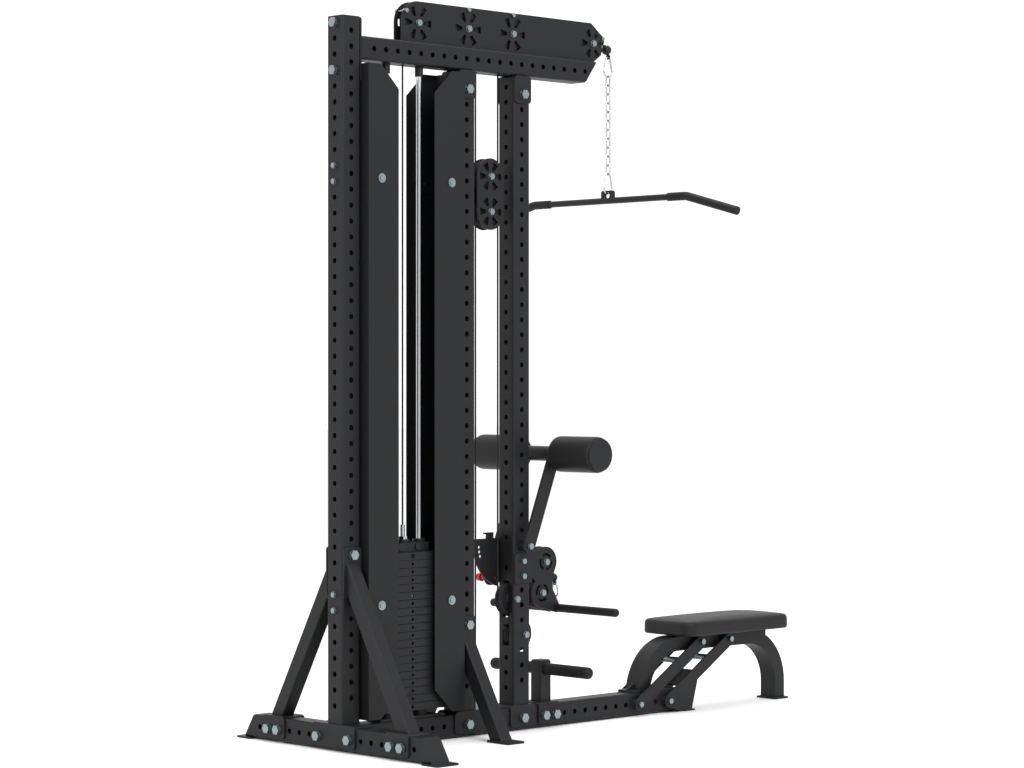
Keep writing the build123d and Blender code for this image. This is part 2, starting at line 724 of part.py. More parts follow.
# ------------------------------------------------------------------ cables
ball = (rear_x + 1187, 2305.0)
row_ball_at = (rear_x + 929, row_low[1] + row_pitch_r)
tx = ball[0] - top_pulley_x[3]
tz = ball[1] - top_pulley_z
tangent = atan2(tz, tx) + acos(pulley_pitch_r / hypot(tx, tz))
lat_off = (
    top_pulley_x[3] + pulley_pitch_r * cos(tangent),
    top_pulley_z + pulley_pitch_r * sin(tangent),
)
lat_span = hypot(ball[0] - lat_off[0], ball[1] - lat_off[1])
ball_r = 17.0
row_ball_r = 14.5
lat_end = tuple(o + (b - o) * (1 - (ball_r + 2) / lat_span) for o, b in zip(lat_off, ball))
over = top_pulley_z + pulley_pitch_r

with BuildPart() as lat_cable:
    with BuildLine(Plane.XZ) as lat_route:
        Line((stack_x, fork_z), (stack_x, top_pulley_z))
        CenterArc((top_pulley_x[0], top_pulley_z), pulley_pitch_r, 180, -90)
        Line((top_pulley_x[0], over), (top_pulley_x[1], over))
        CenterArc((top_pulley_x[1], top_pulley_z), pulley_pitch_r, 90, -90)
        Line((block_x - pulley_pitch_r, top_pulley_z), (block_x - pulley_pitch_r, block_z[1]))
        CenterArc((block_x, block_z[1]), pulley_pitch_r, 180, 180)
        Line((block_x + pulley_pitch_r, block_z[1]), (block_x + pulley_pitch_r, top_pulley_z))
        CenterArc((top_pulley_x[2], top_pulley_z), pulley_pitch_r, 180, -90)
        Line((top_pulley_x[2], over), (top_pulley_x[3], over))
        CenterArc((top_pulley_x[3], top_pulley_z), pulley_pitch_r, 90, degrees(tangent) - 90)
        Line(lat_off, lat_end)
    with BuildSketch(Plane.XY.offset(fork_z)):
        with Locations((stack_x, 0)):
            Circle(cable_r)
    sweep(path=lat_route.wires()[0])
lat_cable.part.label = "lat_cable"
export_step(lat_cable.part, "parts/lat_cable.step")

anchor_top = 125.0
gx = low_guide[0] - high_guide[0]
gz = low_guide[1] - high_guide[1]
span = hypot(gx, gz)
nx, nz = gz / span * pulley_pitch_r, -gx / span * pulley_pitch_r
slant = 180 - degrees(atan2(nz, -nx)) if nz > 0 else 180 + degrees(atan2(-nz, -nx))
with BuildPart() as row_cable:
    with BuildLine(Plane.XZ) as row_route:
        Line((block_x - pulley_pitch_r, anchor_top), (block_x - pulley_pitch_r, block_z[0]))
        CenterArc((block_x, block_z[0]), pulley_pitch_r, 180, -180)
        Line((block_x + pulley_pitch_r, block_z[0]), (high_guide[0] - pulley_pitch_r, high_guide[1]))
        CenterArc(high_guide, pulley_pitch_r, 180, slant - 180)
        Line((high_guide[0] + nx, high_guide[1] + nz), (low_guide[0] + nx, low_guide[1] + nz))
        CenterArc(low_guide, pulley_pitch_r, slant, 360 - slant)
        Line((low_guide[0] + pulley_pitch_r, low_guide[1]), (row_low[0] - row_pitch_r, row_low[1]))
        CenterArc(row_low, row_pitch_r, 180, -90)
        Line((row_low[0], row_ball_at[1]), (row_ball_at[0] - row_ball_r, row_ball_at[1]))
    with BuildSketch(Plane.XY.offset(anchor_top)):
        with Locations((block_x - pulley_pitch_r, 0)):
            Circle(cable_r)
    sweep(path=row_route.wires()[0])
row_cable.part.label = "row_cable"
export_step(row_cable.part, "parts/row_cable.step")
for name, thing, route in (("lat", lat_cable, lat_route), ("row", row_cable, row_route)):
    length = route.wires()[0].length
    print(name, "cable length", round(length, 1), "volume ratio",
          round(thing.part.volume / (3.14159265 * cable_r**2 * length), 5))

with BuildPart() as row_anchor:
    with BuildSketch(Plane.XZ):
        with BuildLine():
            base = block_x - pulley_pitch_r
            Polyline(
                (base, floor_top), (base + 16, floor_top), (base + 16, floor_top + 3),
                (base + 11, floor_top + 3), (base + 11, floor_top + 13), (base + 8, floor_top + 13),
                (base + 8, floor_top + 25), (base + 5, anchor_top), (base, anchor_top), (base, floor_top),
            )
        make_face()
    revolve(axis=Axis((base, 0, 0), (0, 0, 1)))
row_anchor.part.label = "row_anchor"
export_step(row_anchor.part, "parts/row_anchor.step")


# ------------------------------------------------------------------ pull-down bar
def hung_ball(x, z, r, lean_deg, length):
    """Ball stop with a short neck on the cable side and a flat on the other."""
    neck = (r**2 - 8**2) ** 0.5
    nose = (r**2 - 4**2) ** 0.5
    with BuildPart() as stop:
        with BuildSketch(Plane.XZ):
            with BuildLine():
                Polyline((nose, 4), (nose, 0), (-length, 0), (-length, 6), (-neck, 8))
                ThreePointArc((-neck, 8), (0, r), (nose, 4))
            make_face()
        revolve(axis=Axis.X)
    return Pos(x, 0, z) * Rot(0, lean_deg, 0) * stop.part


def link(top_z, x, length, width, wire, turned, narrow=0.0):
    """Closed wire loop hanging from top_z, in the XZ plane or turned a quarter about Z."""
    r_low = width / 2 - wire / 2
    r_up = r_low - narrow
    za = -wire / 2 - r_up
    zb = -length + wire / 2 + r_low
    tilt = degrees(atan2(r_low - r_up, za - zb))
    with BuildPart() as loop:
        with BuildLine(Plane.XZ) as path:
            c, s = cos(radians(tilt)), sin(radians(tilt))
            Line((r_up * c, za + r_up * s), (r_low * c, zb + r_low * s))
            CenterArc((0, zb), r_low, tilt, -180 - 2 * tilt)
            Line((-r_low * c, zb + r_low * s), (-r_up * c, za + r_up * s))
            CenterArc((0, za), r_up, 180 - tilt, -180 + 2 * tilt)
        with BuildSketch(Plane(path.line @ 0, z_dir=path.line % 0)):
            Circle(wire / 2)
        sweep(path=path.wires()[0])
    return Pos(x, 0, top_z) * Rot(0, 0, 90 if turned else 0) * loop.part


ring_drop = 23.0
with BuildPart() as lat_ball:
    add(hung_ball(ball[0], ball[1], ball_r, 90 - degrees(tangent), ball_r + 2))
    with BuildSketch(Plane.YZ.offset(bar_x - 2)):
        with Locations((0, ball[1] - ring_drop)):
            Circle(9)
            Circle(4.5, mode=Mode.SUBTRACT)
    extrude(amount=4)
lat_ball.part.label = "lat_ball"
export_step(lat_ball.part, "parts/lat_ball.step")

clip_l = 78.0
clip_w = 44.0
clip_wire = 6.5
chain_wire = 5.5
chain_pitch = 31.0
chain_n = 11
chain_l = chain_pitch + 2 * chain_wire
upper_clip_top = ball[1] - ring_drop + 4.0
first_link_top = upper_clip_top - clip_l + clip_wire + chain_wire + 0.3
link_step = chain_pitch - 0.3
lower_clip_top = first_link_top - (chain_n - 1) * link_step - chain_l + chain_wire + clip_wire + 0.3
hole_top = lower_clip_top - clip_l + clip_wire + 2.2
with BuildPart() as lat_carabiners:
    add(link(upper_clip_top, bar_x, clip_l, clip_w, clip_wire, False, narrow=9))
    add(link(lower_clip_top, bar_x, clip_l, clip_w, clip_wire, False, narrow=9))
lat_carabiners.part.label = "lat_carabiners"
export_step(lat_carabiners.part, "parts/lat_carabiners.step")

with BuildPart() as lat_chain:
    for i in range(chain_n):
        add(link(first_link_top - i * link_step, bar_x, chain_l, 23, chain_wire, i % 2 == 0))
lat_chain.part.label = "lat_chain"
export_step(lat_chain.part, "parts/lat_chain.step")

bend_r = 60.0
fall = atan2(bar_drop, bar_end_y - bend_y)


def bar_half(side, r, y_from, trim=0.0):
    """One half of the bent bar, from y_from out to its end."""
    cut = bend_r * tan(fall / 2)
    with BuildPart() as rod:
        with BuildLine(Plane.YZ.offset(bar_x)) as path:
            Polyline(
                (side * y_from, bar_z), (side * bend_y, bar_z),
                (side * (bar_end_y - trim), bar_z - bar_drop + trim * tan(fall)),
            )
            fillet(path.vertices().sort_by(Axis.Y)[1], bend_r)
        with BuildSketch(Plane.XZ.offset(-side * y_from)):
            with Locations((bar_x, bar_z)):
                Circle(r)
        sweep(path=path.wires()[0])
    return rod.part


tab_top = hole_top + 6.0
with BuildPart() as lat_bar:
    for side in (-1, 1):
        add(bar_half(side, bar_r, 0, trim=2))
    with BuildSketch(Plane.YZ.offset(bar_x - 4)):
        with Locations((0, (bar_z + tab_top) / 2)):
            Rectangle(60, tab_top - bar_z)
    extrude(amount=8)
    fillet(lat_bar.edges().filter_by(Axis.X).group_by(Axis.Z)[-1], 9)
    with BuildSketch(Plane.YZ.offset(bar_x - 10)):
        with Locations((0, hole_top - 11)):
            Circle(11)
    extrude(amount=20, mode=Mode.SUBTRACT)
lat_bar.part.label = "lat_bar"
export_step(lat_bar.part, "parts/lat_bar.step")

with BuildPart() as bar_grips:
    for side in (-1, 1):
        add(bar_half(side, grip_r, 285))
    for side in (-1, 1):
        add(bar_half(side, bar_r + 0.02, 284, trim=2), mode=Mode.SUBTRACT)
bar_grips.part.label = "bar_grips"
export_step(bar_grips.part, "parts/bar_grips.step")

# ------------------------------------------------------------------ low row pulleys
high_peg_at = (rear_x + 929, 396.0)
high_peg_r = 14.0
bracket_x = (front_x - half, front_x + half + 5.5)
plates_z = (490.0, 590.0)
row_bolts_z = (563.75, 513.75)
with BuildPart() as row_bracket:
    with BuildSketch(Plane.XZ):
        with Locations((sum(bracket_x) / 2, sum(plates_z) / 2)):
            RectangleRounded(bracket_x[1] - bracket_x[0], plates_z[1] - plates_z[0], 8)
    extrude(amount=out, both=True)
    with BuildSketch(Plane.XZ):
        with Locations((front_x - 1, sum(plates_z) / 2)):
            Rectangle(tube + 2, 120)
    extrude(amount=half, both=True, mode=Mode.SUBTRACT)
    for y in (cheek_out, -cheek_in):
        with BuildSketch(Plane.XZ.offset(y)):
            with Locations(row_low, row_high):
                Circle(51)
            Polygon(
                (bracket_x[1] - 1, 528), (bracket_x[1] - 1, 588), (row_high[0] - 10, 603.5),
                (row_high[0], 510), (row_low[0], 497), (row_low[0] - 30, 490), align=None,
            )
            Polygon(
                (row_low[0] - 12, 401.5), (rear_x + 929, 380), (rear_x + 945, 398), (rear_x + 906, 466),
                row_low, align=None,
            )
            Polygon(
                (row_high[0] + 42, row_high[1] - 28), (row_low[0] + 47, row_low[1] + 18),
                (row_low[0] - 20, row_low[1] + 45), (row_high[0] - 20, row_high[1] - 45), align=None,
            )
            with Locations(row_low, row_high):
                Circle(axle_r + 0.25, mode=Mode.SUBTRACT)
        extrude(amount=-cheek_t)
    add(spacer(high_peg_at[0], high_peg_at[1], -cheek_out, cheek_out, high_peg_r))
    for at, turn in ((row_low, 90), (row_high, 20)):
        with BuildSketch(Plane.XZ):
            with Locations(at):
                Circle(30)
                Circle(21.5, mode=Mode.SUBTRACT)
                with PolarLocations(26, 3, start_angle=turn):
                    Rectangle(14, 14, mode=Mode.SUBTRACT)
        extrude(amount=60, both=True, mode=Mode.SUBTRACT)
    with BuildSketch(Plane.XZ):
        with Locations([(front_x, z) for z in row_bolts_z]):
            Circle(5.5)
    extrude(amount=60, both=True, mode=Mode.SUBTRACT)
row_bracket.part.label = "row_bracket"
export_step(row_bracket.part, "parts/row_bracket.step")

for (x, z), name in ((row_low, "row_pulley_lower"), (row_high, "row_pulley_upper")):
    with BuildPart() as row_pulley:
        add(pulley(x, z, row_pulley_r, row_pitch_r, pulley_w))
    row_pulley.part.label = name
    export_step(row_pulley.part, "parts/" + name + ".step")

for (x, z), name in ((high_guide, "guide_pulley_upper"), (low_guide, "guide_pulley_lower")):
    with BuildPart() as guide_pulley:
        add(pulley(x, z, pulley_r, pulley_pitch_r, pulley_w))
    guide_pulley.part.label = name
    export_step(guide_pulley.part, "parts/" + name + ".step")

with BuildPart() as front_axles:
    for x, z in (high_guide, low_guide):
        add(across(x, z, -half, half, axle_r, 19, head=7))
        for y0, y1 in ((-half + wall + 1, -ring_in), (ring_in, half - wall - 1)):
            add(spacer(x, z, y0, y1, axle_r + 1.5))
    for x, z in (row_low, row_high):
        add(across(x, z, -cheek_out, cheek_out, axle_r, 19, head=7))
        for y0, y1 in ((-cheek_in, -ring_in), (ring_in, cheek_in)):
            add(spacer(x, z, y0, y1, axle_r + 3))
    for z in row_bolts_z:
        add(across(front_x, z, -out, out, 4.9, 17, head=6))
    add(across(pivot[0], pivot[1], -arm_out - 0.5, arm_out + 0.5, pivot_r, 19, head=7))
    add(spacer(pivot[0], pivot[1], -arm_in + 0.4, -half, 18))
    add(spacer(pivot[0], pivot[1], out + plate, arm_in - 0.4, 18))
front_axles.part.label = "front_axles"
export_step(front_axles.part, "parts/front_axles.step")

row_ring_drop = 18.5
with BuildPart() as row_ball:
    add(hung_ball(row_ball_at[0], row_ball_at[1], row_ball_r, 0, row_ball_r))
    with BuildSketch(Plane.XZ):
        with Locations((row_ball_at[0] + 8, row_ball_at[1] - row_ring_drop)):
            Circle(8)
            Circle(4.5, mode=Mode.SUBTRACT)
    extrude(amount=2, both=True)
row_ball.part.label = "row_ball"
export_step(row_ball.part, "parts/row_ball.step")

with BuildPart() as row_carabiner:
    add(link(row_ball_at[1] - row_ring_drop + 3.6, row_ball_at[0] + 8, 52, 34, 6, True, narrow=5))
row_carabiner.part.label = "row_carabiner"
export_step(row_carabiner.part, "parts/row_carabiner.step")

# ------------------------------------------------------------------ thigh rollers
rest = radians(roller_rest)
roller_at = (pivot[0] + roller_reach * cos(rest), pivot[1] + roller_reach * sin(rest))
latch_at = (pivot[0] - latch_r * cos(rest), pivot[1] - latch_r * sin(rest))


def polar(radius, angle):
    return (pivot[0] + radius * cos(radians(angle)), pivot[1] + radius * sin(radians(angle)))


quad_r = 141.0
quad_y = (out, out + plate)
with BuildPart() as thigh_quadrant:
    with BuildSketch(Plane.XZ.offset(-quad_y[1])):
        with BuildLine():
            Line((pivot[0] + 22, 638.5), (pivot[0] - 138.9, 638.5))
            ThreePointArc((pivot[0] - 138.9, 638.5), polar(quad_r, 215), polar(quad_r, 257))
            Polyline(polar(quad_r, 257), (pivot[0] - 18, 545), (pivot[0] - 18, 592),
                     (pivot[0] + 22, 592), (pivot[0] + 22, 638.5))
        make_face()
        with Locations([polar(latch_r, a) for a in (181.9, 189.4, 196.9, 180 + roller_rest)]):
            Circle(5.6, mode=Mode.SUBTRACT)
    extrude(amount=plate)
    with BuildSketch(Plane.XZ.offset(-quad_y[0])):
        with Locations(pivot):
            Circle(20)
    extrude(amount=plate)
    with Locations((pivot[0] - 68.5, (quad_y[0] + quad_y[1]) / 2, 646)):
        Box(31, plate, 20)
    with Locations((pivot[0] - 74.5, (quad_y[0] + quad_y[1]) / 2, 656)):
        Box(43, plate, 5)
    with BuildSketch(Plane.XZ):
        with Locations(pivot):
            Circle(pivot_r + 0.02)
    extrude(amount=100, both=True, mode=Mode.SUBTRACT)
thigh_quadrant.part.label = "thigh_quadrant"
export_step(thigh_quadrant.part, "parts/thigh_quadrant.step")

# Top and bottom ends of the far bar, which runs on past the pivot to carry the latch.
body_y = (arm_out, arm_out + 20)
far_mid = ((roller_at[0] + latch_at[0]) / 2, (roller_at[1] + latch_at[1]) / 2)
near_mid = ((roller_at[0] + pivot[0]) / 2, (roller_at[1] + pivot[1]) / 2)
with BuildPart() as thigh_arm:
    with BuildSketch(Plane.XZ.offset(arm_in)):
        with Locations(near_mid):
            SlotCenterToCenter(roller_reach, thin, rotation=roller_rest)
    extrude(amount=arm_out - arm_in)
    with BuildSketch(Plane.XZ.offset(-arm_out)):
        with Locations(far_mid):
            SlotCenterToCenter(roller_reach + latch_r, thin, rotation=roller_rest)
        with Locations(latch_at):
            Circle(5.6, mode=Mode.SUBTRACT)
    extrude(amount=arm_out - arm_in)
    with BuildSketch(Plane.XZ):
        with Locations(pivot):
            Circle(pivot_r + axle_gap)
    extrude(amount=100, both=True, mode=Mode.SUBTRACT)
    add(spacer(roller_at[0], roller_at[1], -roller_in + 2, roller_in - 2, 25))
    add(spacer(roller_at[0], roller_at[1], -roller_in - roller_l - 4, roller_in + roller_l + 4, 12.5))
    for side in (-1, 1):
        end = side * (roller_in + roller_l)
        add(spacer(roller_at[0], roller_at[1], min(end + side * 1, end + side * 4),
                   max(end + side * 1, end + side * 4), 54))
    add(spacer(latch_at[0], latch_at[1], body_y[0], body_y[0] + 8, 14))
    add(spacer(latch_at[0], latch_at[1], body_y[0], body_y[1], 11))
    add(spacer(latch_at[0], latch_at[1], arm_in - 1, body_y[1] + 1, 5 + axle_gap), mode=Mode.SUBTRACT)
thigh_arm.part.label = "thigh_arm"
export_step(thigh_arm.part, "parts/thigh_arm.step")

for side, hand in ((-1, "left"), (1, "right")):
    y0, y1 = sorted((side * (roller_in + 0.5), side * (roller_in + roller_l - 0.5)))
    with BuildPart() as roller:
        add(spacer(roller_at[0], roller_at[1], y0, y1, roller_r))
        fillet(roller.edges(), 10)
        add(spacer(roller_at[0], roller_at[1], y0 - 1, y1 + 1, 12.5 + axle_gap), mode=Mode.SUBTRACT)
    roller.part.label = "roller_" + hand
    export_step(roller.part, "parts/roller_" + hand + ".step")

with BuildPart() as pop_pin:
    add(spacer(latch_at[0], latch_at[1], quad_y[1] + 0.5, 112, 5))
    add(spacer(latch_at[0], latch_at[1], body_y[1] + 1, 110, 9))
    add(spacer(latch_at[0], latch_at[1], 110, 130, 14))
    fillet(pop_pin.faces().sort_by(Axis.Y)[-1].edges(), 6)
pop_pin.part.label = "pop_pin"
export_step(pop_pin.part, "parts/pop_pin.step")

# ------------------------------------------------------------------ foot post
post_x = rear_x + 870
post_z = 225.0
with BuildPart() as foot_post:
    with BuildSketch(Plane.XY.offset(post_foot)):
        with Locations((post_x, 0)):
            RectangleRounded(thin, thin, 5)
            RectangleRounded(thin - 2 * wall, thin - 2 * wall, 2, mode=Mode.SUBTRACT)
    extrude(amount=post_z - 6 - post_foot)
    with BuildSketch(Plane.XY.offset(post_z - 6)):
        with Locations((post_x, 0)):
            RectangleRounded(thin, thin, 5)
    extrude(amount=6, taper=35)
    add(saddle(Plane.XZ, post_x - 3.5, 97, 13, post_foot, 0, floor_top,
               [(rear_x + 845, base_z), (rear_x + 895, base_z)]))
    with BuildSketch(Plane.XY.offset(post_foot - 7)):
        with Locations((post_x, 0)):
            Circle(6)
    extrude(amount=8, mode=Mode.SUBTRACT)
foot_post.part.label = "foot_post"
export_step(foot_post.part, "parts/foot_post.step")

low_peg_r, low_peg_y = 20.0, 236.0
high_peg_y = 303.0
with BuildPart() as foot_pegs:
    for side in (-1, 1):
        y0, y1 = sorted((side * thin / 2, side * low_peg_y))
        add(spacer(post_x, 195, y0, y1, low_peg_r))
        y0, y1 = sorted((side * cheek_out, side * high_peg_y))
        add(spacer(high_peg_at[0], high_peg_at[1], y0, y1, high_peg_r))
    fillet(foot_pegs.faces().sort_by(Axis.Y)[0].edges() + foot_pegs.faces().sort_by(Axis.Y)[-1].edges(), 10)
    ends = foot_pegs.faces().filter_by(lambda f: abs(abs(f.center().Y) - low_peg_y) < 0.1)
    fillet(ends.edges(), 14)
foot_pegs.part.label = "foot_pegs"
export_step(foot_pegs.part, "parts/foot_pegs.step")

# ------------------------------------------------------------------ seat
seat_top = seat_arc_z + seat_r + thin / 2
rail_end = rear_x + 1982
strut_y = (51.5, 57.5)
strut_low = (rear_x + 1295, rear_x + 1445)
strut_rise = (318.0, 196.5)
lean_deg = degrees(atan2(strut_rise[1], strut_rise[0]))
strut_len = hypot(*strut_rise)
rear_c = seat_rear + seat_r
front_c = seat_front - seat_r


def seat_shell(inset, width, foot):
    r0 = seat_r - thin / 2 + inset
    r1 = seat_r + thin / 2 - inset
    with BuildPart() as body:
        with BuildSketch(Plane.XZ):
            with BuildLine():
                Polyline((rear_c - r0, foot[0]), (rear_c - r1, foot[0]), (rear_c - r1, seat_arc_z))
                RadiusArc((rear_c - r1, seat_arc_z), (rear_c, seat_arc_z + r1), r1)
                Polyline(
                    (rear_c, seat_arc_z + r1), (rail_end - inset, seat_arc_z + r1),
                    (rail_end - inset, seat_arc_z + r0), (rear_c, seat_arc_z + r0),
                )
                RadiusArc((rear_c, seat_arc_z + r0), (rear_c - r0, seat_arc_z), -r0)
                Line((rear_c - r0, seat_arc_z), (rear_c - r0, foot[0]))
            make_face()
        extrude(amount=width / 2, both=True)
        with BuildSketch(Plane.XZ):
            with BuildLine():
                Line((front_c, seat_arc_z + r0), (front_c, seat_arc_z + r1))
                RadiusArc((front_c, seat_arc_z + r1), (front_c + r1, seat_arc_z), r1)
                Polyline(
                    (front_c + r1, seat_arc_z), (front_c + r1, foot[1]), (front_c + r0, foot[1]),
                    (front_c + r0, seat_arc_z),
                )
                RadiusArc((front_c + r0, seat_arc_z), (front_c, seat_arc_z + r0), -r0)
            make_face()
        extrude(amount=width / 2, both=True)
    return body.part


with BuildPart() as seat_frame:
    add(seat_shell(0, seat_w, (60, plate)))
    add(seat_shell(wall, seat_w - 2 * wall, (50, 0)), mode=Mode.SUBTRACT)
    with Locations((seat_rear, 0, 44)):
        Box(120, 120, 88, mode=Mode.SUBTRACT)
    with BuildSketch(Plane.XZ):
        with Locations([(x + strut_rise[0], base_z + strut_rise[1]) for x in strut_low]):
            Circle(hole_r)
    extrude(amount=tube, both=True, mode=Mode.SUBTRACT)
    with BuildSketch(Plane.XY.offset(floor_top)):
        with Locations((rear_x + 1337.5, 0)):
            RectangleRounded(115, tube, 6)
    extrude(amount=8)
    with BuildSketch(Plane.XZ):
        Polygon((rear_x + 1284, 88), (rear_x + 1321, 88), (rear_x + 1321, 108), align=None)
    extrude(amount=3, both=True)
    with BuildSketch(Plane.XY):
        with Locations((rear_x + 2060, 0)):
            RectangleRounded(75, 95, 8)
            Circle(8, mode=Mode.SUBTRACT)
    extrude(amount=plate)
    with BuildSketch(Plane.XY.offset(seat_top)):
        with Locations((rear_x + 1755, 0)):
            Rectangle(420, 60)
    extrude(amount=pad_z[0] - seat_top)
seat_frame.part.label = "seat_frame"
export_step(seat_frame.part, "parts/seat_frame.step")

with BuildPart() as seat_pad:
    with BuildSketch(Plane.XY.offset(pad_z[0])):
        with Locations((sum(pad_x) / 2, 0)):
            RectangleRounded(pad_x[1] - pad_x[0], pad_w, 40)
    extrude(amount=pad_z[1] - pad_z[0])
    fillet(seat_pad.edges().group_by(Axis.Z)[-1], 16)
    fillet(seat_pad.edges().group_by(Axis.Z)[0], 6)
seat_pad.part.label = "seat_pad"
export_step(seat_pad.part, "parts/seat_pad.step")

with BuildPart() as seat_struts:
    for y in (strut_y[1], -strut_y[0]):
        with BuildSketch(Plane.XZ.offset(y)):
            for x in strut_low:
                with Locations((x + strut_rise[0] / 2, base_z + strut_rise[1] / 2)):
                    SlotCenterToCenter(strut_len, 44, rotation=lean_deg)
            Polygon(
                (strut_low[1] - 10, 22), (rear_x + 1493, 5), (rear_x + 1560.5, 5), (rear_x + 1593.5, 115),
                (strut_low[1] + 150, base_z + 95), align=None,
            )
            with Locations([(x, base_z) for x in strut_low]):
                Circle(hole_r, mode=Mode.SUBTRACT)
            with Locations([(x + strut_rise[0], base_z + strut_rise[1]) for x in strut_low]):
                Circle(hole_r, mode=Mode.SUBTRACT)
        extrude(amount=-6)
    with BuildSketch(Plane.XY):
        with Locations((rear_x + 1553.5, 0)):
            Rectangle(47, 2 * strut_y[1])
    extrude(amount=5)
    with BuildSketch(Plane.XZ):
        Polygon(
            (rear_x + 1532, 84), (rear_x + 1606, 133), (rear_x + 1603, 138), (rear_x + 1529, 89), align=None,
        )
    extrude(amount=strut_y[0], both=True)
seat_struts.part.label = "seat_struts"
export_step(seat_struts.part, "parts/seat_struts.step")

with BuildPart() as seat_spacers:
    for x in strut_low:
        for face, at in ((half, (x, base_z)), (seat_w / 2, (x + strut_rise[0], base_z + strut_rise[1]))):
            for y0, y1 in ((-strut_y[0], -face), (face, strut_y[0])):
                add(spacer(at[0], at[1], y0, y1, 15, bore=hole_r))
        add(spacer(x + 216, base_z + 136, -strut_y[0], strut_y[0], 11))
seat_spacers.part.label = "seat_spacers"
export_step(seat_spacers.part, "parts/seat_spacers.step")

with BuildPart() as frame_bolts:
    for y in (-325, -275, -75, 75, 275, 325):
        add(along(y, base_z, rear_x - out, rear_x + out, 8, 28))
    for z in (2142.5, 2292.5):
        add(along(0, z, rear_x - half, rear_x + out, 8, 28))
    across_at = [
        (rear_x, 617.5), (mid_x, 367.5), (mid_x, base_z), (front_x, base_z),
        (mid_x, 2117.5), (front_x, 2117.5), (rear_x + 845, base_z), (rear_x + 895, base_z),
    ]
    for x, z in across_at:
        add(across(x, z, -out, out, 8, 28))
    for x in strut_low:
        for at in ((x, base_z), (x + strut_rise[0], base_z + strut_rise[1])):
            add(across(at[0], at[1], -strut_y[1], strut_y[1], 5, 18, head=7))
frame_bolts.part.label = "frame_bolts"
export_step(frame_bolts.part, "parts/frame_bolts.step")
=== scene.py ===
import json
from math import acos, atan2, cos, hypot, pi, radians, sin

import bmesh
import bpy
import numpy as np
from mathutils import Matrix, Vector


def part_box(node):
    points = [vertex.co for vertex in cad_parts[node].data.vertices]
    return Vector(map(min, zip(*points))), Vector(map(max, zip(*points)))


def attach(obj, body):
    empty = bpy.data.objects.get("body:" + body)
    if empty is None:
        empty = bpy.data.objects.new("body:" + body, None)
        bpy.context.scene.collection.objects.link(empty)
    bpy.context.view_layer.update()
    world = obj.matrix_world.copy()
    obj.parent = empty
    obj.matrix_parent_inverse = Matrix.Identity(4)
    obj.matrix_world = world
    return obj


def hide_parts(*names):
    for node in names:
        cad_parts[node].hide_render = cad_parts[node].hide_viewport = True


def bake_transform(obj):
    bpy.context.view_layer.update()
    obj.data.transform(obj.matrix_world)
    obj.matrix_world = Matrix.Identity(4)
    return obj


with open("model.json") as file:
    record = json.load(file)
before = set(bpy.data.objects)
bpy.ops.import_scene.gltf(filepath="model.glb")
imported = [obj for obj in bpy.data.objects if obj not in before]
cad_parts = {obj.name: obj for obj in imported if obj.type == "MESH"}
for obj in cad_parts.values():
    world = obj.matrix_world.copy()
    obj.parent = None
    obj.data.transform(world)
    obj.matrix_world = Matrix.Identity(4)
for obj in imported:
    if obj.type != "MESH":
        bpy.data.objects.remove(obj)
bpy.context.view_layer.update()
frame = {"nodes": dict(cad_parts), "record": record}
nodes = frame["nodes"]


# ------------------------------------------------------------------ materials
SHINE = 0.18                    # specular level of every finish


def material(name, color, rough, metallic=0.0, bump=0.0, grain=400.0, coat=0.0, mottle=0.0):
    """Procedural finish: base colour with a fine grain in its height and its roughness."""
    m = bpy.data.materials.new(name)
    m.use_nodes = True
    tree = m.node_tree
    shader = tree.nodes["Principled BSDF"]
    shader.inputs["Base Color"].default_value = (*color, 1)
    shader.inputs["Metallic"].default_value = metallic
    shader.inputs["Roughness"].default_value = rough
    shader.inputs["Coat Weight"].default_value = coat
    shader.inputs["Specular IOR Level"].default_value = SHINE
    coords = tree.nodes.new("ShaderNodeTexCoord")
    if bump:
        noise = tree.nodes.new("ShaderNodeTexNoise")
        noise.inputs["Scale"].default_value = grain
        noise.inputs["Detail"].default_value = 3
        lift = tree.nodes.new("ShaderNodeBump")
        lift.inputs["Strength"].default_value = bump
        lift.inputs["Distance"].default_value = 0.0004
        tree.links.new(coords.outputs["Object"], noise.inputs["Vector"])
        tree.links.new(noise.outputs["Fac"], lift.inputs["Height"])
        tree.links.new(lift.outputs["Normal"], shader.inputs["Normal"])
    if mottle:
        cloud = tree.nodes.new("ShaderNodeTexNoise")
        cloud.inputs["Scale"].default_value = 14
        cloud.inputs["Detail"].default_value = 4
        ramp = tree.nodes.new("ShaderNodeMapRange")
        ramp.inputs["To Min"].default_value = rough - mottle
        ramp.inputs["To Max"].default_value = rough + mottle
        tree.links.new(coords.outputs["Object"], cloud.inputs["Vector"])
        tree.links.new(cloud.outputs["Fac"], ramp.inputs["Value"])
        tree.links.new(ramp.outputs["Result"], shader.inputs["Roughness"])
    return m


def leather(name, color, rough):
    """Fine pebbled leatherette."""
    m = material(name, color, rough)
    tree = m.node_tree
    shader = tree.nodes["Principled BSDF"]
    coords = tree.nodes.new("ShaderNodeTexCoord")
    cells = tree.nodes.new("ShaderNodeTexVoronoi")
    cells.feature = "DISTANCE_TO_EDGE"
    cells.inputs["Scale"].default_value = 420
    lift = tree.nodes.new("ShaderNodeBump")
    lift.inputs["Strength"].default_value = 0.35
    lift.inputs["Distance"].default_value = 0.0005
    tree.links.new(coords.outputs["Object"], cells.inputs["Vector"])
    tree.links.new(cells.outputs["Distance"], lift.inputs["Height"])
    tree.links.new(lift.outputs["Normal"], shader.inputs["Normal"])
    return m


